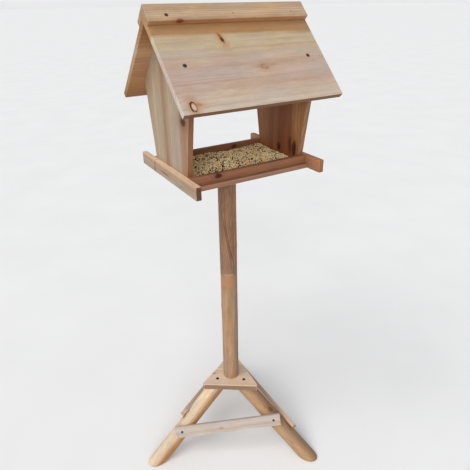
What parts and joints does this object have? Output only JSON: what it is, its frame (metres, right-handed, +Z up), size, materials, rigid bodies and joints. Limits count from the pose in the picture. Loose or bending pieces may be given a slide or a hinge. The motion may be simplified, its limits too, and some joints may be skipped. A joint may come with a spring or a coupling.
{
  "type": "bird feeder on pole",
  "caption": "Open wooden bird table with a gabled roof and a railed seed tray, on a round two-part pole with a splayed, braced tripod foot.",
  "frame": {"origin": "on the ground, on the axis of the pole", "axes": "+Z up along the pole; +X along the roof's ridge, to the right of someone facing the front; the front of the house faces -Y"},
  "size_m": [0.48, 0.4962, 1.204],
  "materials": {
    "house_wood": "sanded pine, matt",
    "roof_wood": "sanded pine, matt",
    "rail_wood": "sawn pine, matt",
    "plate_wood": "sanded pine, matt",
    "pole_wood": "turned pine, satin",
    "leg_wood": "peeled pine, satin",
    "brace_wood": "pale planed pine, matt",
    "seed": "loose dry grain, matt",
    "screw_steel": "dulled dark steel",
    "stud_steel": "zinc plated",
    "sleeve_brass": "plain"
  },
  "bodies": {
    "stand": {"lower_pole": "pole_wood", "pole_stud": "stud_steel", "base_plate": "plate_wood", "front_leg": "leg_wood", "left_leg": "leg_wood", "rear_leg": "leg_wood", "front_brace": "brace_wood", "right_brace": "brace_wood", "rear_brace": "brace_wood", "pole_foot_screw": "screw_steel", "leg_screws": "screw_steel", "brace_screws": "screw_steel"},
    "house": {"floor_board": "house_wood", "left_rail": "rail_wood", "right_rail": "rail_wood", "front_rail": "rail_wood", "back_rail": "rail_wood", "seed_bed": "seed", "left_wall": "house_wood", "right_wall": "house_wood", "front_roof_panel": "roof_wood", "back_roof_panel": "roof_wood", "front_ridge_strip": "roof_wood", "back_ridge_strip": "roof_wood", "mounting_plate": "plate_wood", "upper_pole": "pole_wood", "pole_sleeve": "sleeve_brass", "roof_screws": "screw_steel", "ridge_strip_screws": "screw_steel", "ridge_strip_brads": "screw_steel", "wall_screws": "screw_steel", "rail_brads": "screw_steel", "mounting_plate_screws": "screw_steel", "pole_top_screw": "screw_steel"}
  },
  "joints": [
    {"name": "house_turn", "type": "hinge", "parent": "stand", "child": "house", "pos_m": [0, 0, 0.565], "axis": [0, 0, 1], "continuous": true}
  ]
}
